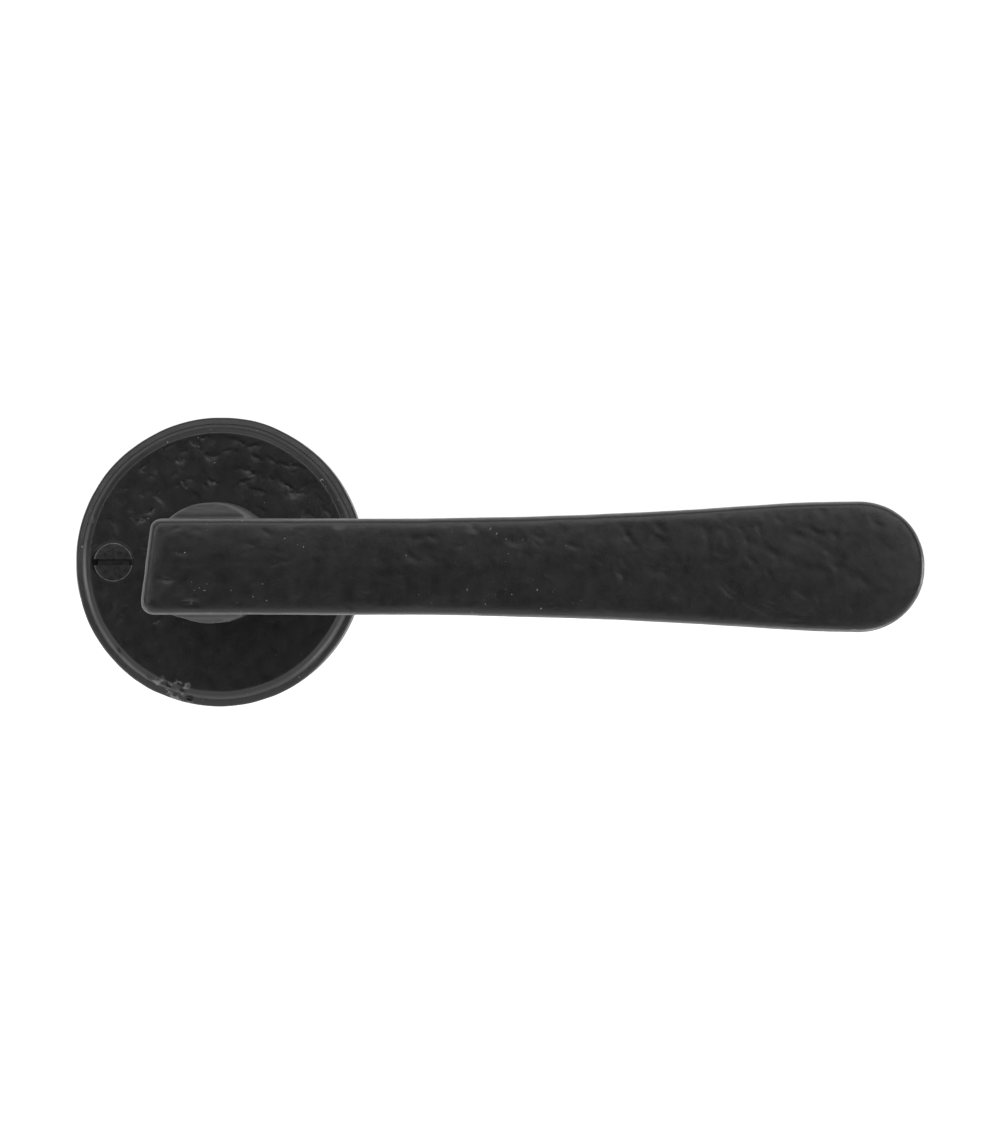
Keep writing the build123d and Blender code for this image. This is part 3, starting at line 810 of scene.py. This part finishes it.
# The flare's half width between the bar's and the paddle's: shares of its length and of its growth
FLARE_SHARES = (0, 0.42, 0.74, 1)
FLARE_GROWTH = (0, 0.17, 0.63, 1)
FILL_MARGIN = 0.4  # how far the socket's filling goes into its walls
PLUG_MARGIN = 0.2
PLUG_INSET = 0.25
GRUB_HOLE_END = 3.0
TAIL_OVERLAP = 2.0


def edge_distance(rows):
    """How far each point of the bar's front is from the bar's outline."""
    share = (rows[:, 0] - FLARE_START) / (PADDLE_CENTRE - FLARE_START)
    grown = np.interp(share, FLARE_SHARES, FLARE_GROWTH)
    half = BAR_HALF + (PADDLE_RADIUS - BAR_HALF) * grown
    beside = half - np.abs(rows[:, 1])
    past = np.clip(rows[:, 0] - PADDLE_CENTRE, 0, None)
    round_end = PADDLE_RADIUS - np.hypot(past, rows[:, 1])
    beside = np.where(past > 0, round_end, beside)
    end = np.interp(rows[:, 1], (-BAR_HALF, BAR_HALF), (BAR_END_FOOT, BAR_END_TOP))
    return np.clip(np.minimum(beside, rows[:, 0] - end), 0, None)


def hammered(torn):
    """How far the listed marks and the random small ones stand off the lever's front."""
    marks = np.zeros(len(torn))
    for x, z, long, wide, angle, depth in PADDLE_MARKS:
        marks += fold(torn, (x, z), (long, wide), math.radians(angle), MARK_SHARE * depth)
    dice = random.Random(SMALL_MARKS_SEED)
    for _ in range(SMALL_MARKS):
        x = dice.uniform(-7, 120)
        z = dice.uniform(-10, 10)
        # Towards the paddle the marks lean more and grow shallower
        on_paddle = min(1.0, max(0.0, (x - 20) / 50))
        long = dice.uniform(0.7, 2.0)
        wide = long * dice.uniform(0.25, 0.6)
        angle = math.radians(dice.gauss(-4 - 28 * on_paddle, 10 + 12 * on_paddle))
        depth = dice.uniform(0.045, 0.12) * (1 - 0.35 * on_paddle)
        shape = fold if dice.random() < 0.6 else bowl
        marks += shape(torn, (x, z), (long, wide), angle, depth)
    return marks


def drawn_edge(rows):
    """How much the front edge's round is drawn out towards a sharp one, and from where."""
    inward = np.clip(FRONT_EDGE - edge_distance(rows), 0, FRONT_EDGE)
    above = np.clip(rows[:, 2] - BAR_FRONT + FRONT_EDGE, 0, None)
    far = np.hypot(inward, above) + 1e-9
    blunt = ((inward / far) ** EDGE_POWER + (above / far) ** EDGE_POWER) ** (1 / EDGE_POWER)
    drawn = np.where((inward > 0) & (above > 0), 1 / np.clip(blunt, 0.5, 1) - 1, 0)
    return drawn * inward, drawn * above


def roughen_lever(thing):
    """Forged waviness all over, hammer marks, a drawn-out front edge, and the bar's drop."""
    rows = points_of(thing)
    normals = normals_of(thing)
    stretched = rows * np.array([0.5, 1.0, 1.0])
    wave = 0.09 * swell(stretched, 8.0, 5) + 0.04 * swell(stretched, 3.2, 6)
    wave += 0.02 * swell(rows, 1.3, 7)
    marks = hammered(torn_places(rows, 2.0, 0.7, (12, 13)))
    pillow = -PILLOW * np.exp(-edge_distance(rows) / PILLOW_REACH)
    outwards, upwards = drawn_edge(rows)
    sideways = normals[:, :2] / (np.hypot(normals[:, 0], normals[:, 1])[:, None] + 1e-9)
    outside = rise(rows[:, 2], 14.0, 18.0)
    in_bar = rise(rows[:, 2], BAR_BACK - 1.0, BAR_BACK)
    front = rise(rows[:, 2], BAR_FRONT - 6.0, BAR_FRONT - 2.0) * np.clip(normals[:, 2], 0, 1)
    rows += normals * (wave * outside + BAR_GROWTH * in_bar + marks * front)[:, None]
    rows[:, :2] += sideways * outwards[:, None]
    rows[:, 2] += upwards
    # The edge's rounding is made deeper than it is wide
    depth = BAR_FRONT - rows[:, 2]
    deeper = np.interp(depth, (0, FRONT_EDGE, BAR_THICKNESS), (0, EDGE_DEPTH, BAR_THICKNESS))
    rows[:, 2] -= np.where((depth > 0) & (depth < BAR_THICKNESS), deeper - depth, 0)
    # The front falls a little to its outline and to the heel
    near_heel = rise(-rows[:, 0], -END_FALL_START, -BAR_END_FOOT)
    fall = pillow - END_FALL * near_heel**2
    rows[:, 2] += fall * rise(rows[:, 2], BAR_FRONT - 6.0, BAR_FRONT - 1.0)
    rows[:, 1] -= BAR_DROP * rise(rows[:, 2], BAR_BACK - 1.5, BAR_BACK + 1.5)
    low_share = rise(-rows[:, 1], -BAR_HALF, BAR_HALF)
    rows[:, 0] -= HEEL_LEAN * in_bar * low_share * rise(-rows[:, 0], 4.0, 9.0)
    move_points(thing, rows)


def cad_copy(node):
    """A copy of a CAD node's mesh in millimetres."""
    made = bpy.data.objects.new("copy", nodes[node].data.copy())
    scene.collection.objects.link(made)
    made.data.transform(Matrix.Scale(1 / MM, 4))
    made.data.materials.clear()
    fix_normals(made)
    return made


def side_rod(name, radius, x, height, low, high, steps=48):
    """A round rod that runs up and down, at an x and a height."""
    points = []
    for z in (low, high):
        for step in range(steps):
            turn = 2 * math.pi * step / steps
            points.append((x + radius * math.cos(turn), z, height + radius * math.sin(turn)))
    faces = [tuple(range(steps)), tuple(range(2 * steps - 1, steps - 1, -1))]
    for step in range(steps):
        after = (step + 1) % steps
        faces.append((step, after, steps + after, steps + step))
    return mesh_object(name, points, faces)


def tail_outline():
    """The tail's closed (radius, height) outline, with its two ring grooves."""
    top = NECK_START + TAIL_OVERLAP
    made = [(0, TAIL_END), (TAIL_RADIUS, TAIL_END)]
    for low, high in GROOVES:
        made += [(TAIL_RADIUS, low), (GROOVE_RADIUS, low), (GROOVE_RADIUS, high), (TAIL_RADIUS, high)]
    return made + [(TAIL_RADIUS, top), (0, top)]


def make_tail():
    """The turned tail: round in the bush, with two flats for the cam."""
    tail = lathe("tail", tail_outline(), 128)
    flats = []
    for side in (-1, 1):
        near, far = sorted((side * TAIL_FLAT, side * CUT_REACH))
        flats.append(box_solid("flat", (near, -CUT_REACH, 0), (far, CUT_REACH, TAIL_FLATS_HEIGHT)))
    combine(tail, flats, "DIFFERENCE")
    return tail


def make_lever():
    """The lever: the CAD's shape made rough as a forging, with its turned tail and cut holes."""
    thing = cad_copy("lever")
    # The socket, the grub screw's hole and the tail are cut again sharp after the casting is rough
    half = SOCKET_SIDE / 2 + FILL_MARGIN
    filler = box_solid("filler", (-half, -half, 2), (half, half, SOCKET_END + 1))
    plug_low = -NECK_BOTTOM_RADIUS + PLUG_INSET
    plug_radius = GRUB_HOLE_RADIUS + PLUG_MARGIN
    plug = side_rod("plug", plug_radius, 0, GRUB_HEIGHT, plug_low, -GRUB_HOLE_END)
    combine(thing, [filler, plug], "UNION")
    below = box_solid("below", (-CUT_REACH,) * 3, (CUT_REACH, CUT_REACH, NECK_START))
    combine(thing, [below], "DIFFERENCE")
    remesh = thing.modifiers.new("remesh", "REMESH")
    remesh.mode = "VOXEL"
    remesh.voxel_size = LEVER_VOXEL
    smooth = thing.modifiers.new("smooth", "SMOOTH")
    smooth.factor = 0.5
    smooth.iterations = 3
    settle(thing)
    roughen_lever(thing)
    combine(thing, [make_tail()], "UNION")
    half = SOCKET_SIDE / 2
    socket = box_solid("socket", (-half, -half, 0), (half, half, SOCKET_END))
    hole_low = -NECK_BOTTOM_RADIUS - OVERCUT
    hole = side_rod("hole", GRUB_HOLE_RADIUS, 0, GRUB_HEIGHT, hole_low, -GRUB_HOLE_END)
    combine(thing, [socket, hole], "DIFFERENCE")
    piece("lever_forged", thing, "lever_side", materials["lever_iron"], "lever")


# ---------------------------------------------------------------- wood screws
THREAD_STEPS = 40
THREAD_ROWS = 9
CREST_PLACE = 0.6  # shares of the pitch
CREST_HALF = 0.35
RUN_OUT_ABOVE = 0.8  # the thread fades into the shank over this, and as far again below its top
POINT_LENGTH = 3.0
POINT_SHARE = 0.12  # the tip's radius as a share of the core's


def thread_radius(height, share):
    """Radius of the threaded length at a height and a share of a turn."""
    phase = ((SCREW_THREAD_TOP - height) / SCREW_PITCH + share) % 1.0
    crest = max(0.0, 1 - abs(phase - CREST_PLACE) / CREST_HALF)
    point = min(1.0, max(0.0, (height - SCREW_TIP) / POINT_LENGTH))
    run_out = (SCREW_THREAD_TOP + RUN_OUT_ABOVE - height) / (2 * RUN_OUT_ABOVE)
    run_out = min(1.0, max(0.0, run_out))
    core = SCREW_SHANK_RADIUS + (SCREW_ROOT_RADIUS - SCREW_SHANK_RADIUS) * run_out
    grown = (SCREW_SHANK_RADIUS - core) * crest
    return (core + grown) * (POINT_SHARE + (1 - POINT_SHARE) * point)


def screw_rows():
    """(height, radius or None) from the head down; None is where the thread sets it."""
    head = [
        (SCREW_HEAD_TOP, 0.0),
        (SCREW_HEAD_TOP, SCREW_HEAD_RADIUS * 0.5),
        (SCREW_HEAD_TOP, SCREW_HEAD_RADIUS - 0.3),
        (SCREW_HEAD_TOP - 0.04, SCREW_HEAD_RADIUS - 0.1),
        (SCREW_HEAD_TOP - 0.16, SCREW_HEAD_RADIUS - 0.03),
        (SCREW_HEAD_TOP - 0.3, SCREW_HEAD_RADIUS - 0.3),
        (SCREW_HEAD_TOP - 1.7, SCREW_SHANK_RADIUS + 0.1),
        (0.0, SCREW_SHANK_RADIUS),
    ]
    step = SCREW_PITCH / THREAD_ROWS
    threaded = [(height, None) for height in spaced(SCREW_THREAD_TOP + RUN_OUT_ABOVE, SCREW_TIP, step)]
    return head + threaded + [(SCREW_TIP, 0.0)]


def tube_faces(rings, around):
    """Side faces between rings of points that follow one another."""
    faces = []
    for ring in range(rings - 1):
        here = ring * around
        there = here + around
        for step in range(around):
            after = (step + 1) % around
            faces.append((here + step, here + after, there + after, there + step))
    return faces


def make_screw(name, x, slot_angle):
    """A slotted wood screw at an x, its slot turned from level by an angle."""
    rows = screw_rows()
    points = []
    for height, radius in rows:
        for step in range(THREAD_STEPS):
            share = step / THREAD_STEPS
            across = thread_radius(height, share) if radius is None else radius
            turn = 2 * math.pi * share
            points.append((x + across * math.cos(turn), across * math.sin(turn), height))
    thing = mesh_object(name, points, tube_faces(len(rows), THREAD_STEPS))
    reach = SCREW_HEAD_RADIUS + 1
    half = SCREW_SLOT / 2
    floor = SCREW_HEAD_TOP - SCREW_SLOT_DEPTH
    slot = box_solid("slot", (-reach, -half, floor), (reach, half, SCREW_HEAD_TOP + 1))
    slot.data.transform(Matrix.Rotation(slot_angle, 4, "Y"))
    slot.data.transform(Matrix.Translation((x, 0, 0)))
    combine(thing, [slot], "DIFFERENCE")
    piece(name, thing, "rose_side", materials["black_screw"], "wood_screws")


# ---------------------------------------------------------------- return spring
BEND_STEPS = 6
COIL_STEPS = 120
WIRE_SIDES = 20
LEG_STEP = 0.4


def wire_path():
    """The wire's centre line: the moving leg, the coil, then the fixed leg, as (x, z, height)."""
    bend_span = math.asin(WIRE_BEND / (COIL_RADIUS + WIRE_BEND))
    leg_start = math.sqrt((COIL_RADIUS + WIRE_BEND) ** 2 - WIRE_BEND**2)
    leg = [(0, -radius) for radius in spaced(LEG_END, leg_start, LEG_STEP)]
    for step in range(BEND_STEPS + 1):
        turn = math.pi + (math.pi / 2 - bend_span) * step / BEND_STEPS
        leg.append((WIRE_BEND + WIRE_BEND * math.cos(turn), -leg_start - WIRE_BEND * math.sin(turn)))
    first = -math.pi / 2 + bend_span
    last = -math.pi / 2 + 2 * math.pi * COIL_TURNS - bend_span
    coil = []
    for step in range(1, COIL_STEPS):
        turn = first + (last - first) * step / COIL_STEPS
        coil.append((COIL_RADIUS * math.cos(turn), COIL_RADIUS * math.sin(turn)))
    flat = leg + coil + [(x, -z) for x, z in reversed(leg)]
    lengths = [0.0]
    for (xa, za), (xb, zb) in zip(flat, flat[1:]):
        lengths.append(lengths[-1] + math.hypot(xb - xa, zb - za))
    straight = LEG_END - leg_start
    run = lengths[-1] - 2 * straight
    path = []
    for (x, z), length in zip(flat, lengths):
        share = min(1.0, max(0.0, (length - straight) / run))
        path.append((x, z, SPRING_LOW + share * (SPRING_TOP - SPRING_LOW)))
    return path


def make_spring():
    """The return spring: a round wire along its path, twisted between the two bodies."""
    path = wire_path()
    points = []
    for i, middle in enumerate(path):
        before = path[max(0, i - 1)]
        after = path[min(len(path) - 1, i + 1)]
        across = Vector((after[1] - before[1], -(after[0] - before[0]), 0)).normalized()
        for step in range(WIRE_SIDES):
            turn = 2 * math.pi * step / WIRE_SIDES
            out = WIRE_RADIUS * math.cos(turn)
            up = WIRE_RADIUS * math.sin(turn)
            points.append((middle[0] + across.x * out, middle[1] + across.y * out, middle[2] + up))
    ends = [tuple(range(WIRE_SIDES))]
    ends.append(tuple(range(len(points) - 1, len(points) - WIRE_SIDES - 1, -1)))
    thing = mesh_object("return_coil", points, ends + tube_faces(len(path), WIRE_SIDES))
    piece("return_coil", thing, None, materials["spring_steel"], "return_spring")
    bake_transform(thing)


def dress_cad_nodes():
    """Every CAD node gets the material of its slot in the record, and softened edges."""
    for part in frame["record"]["subparts"]:
        node = nodes[part["node"]]
        node.data.materials.clear()
        node.data.materials.append(materials[part["material_slot"]])
        bevel = node.modifiers.new("edge", "BEVEL")
        bevel.width = EDGE_BREAK * MM
        bevel.segments = 2
        bevel.limit_method = "ANGLE"
        bevel.angle_limit = math.radians(SHARP_ANGLE)


make_camera()
make_world()
make_floor()
for lamp_name, lamp_place, lamp_size, lamp_power in LAMPS:
    make_lamp(lamp_name, lamp_place, lamp_size, lamp_power)
scene.view_settings.view_transform = "Standard"

dress_cad_nodes()
make_rose()
make_lever()
make_screw("screw_left", -SCREW_CENTRES, 0.0)
make_screw("screw_right", SCREW_CENTRES, math.radians(35))
make_spring()
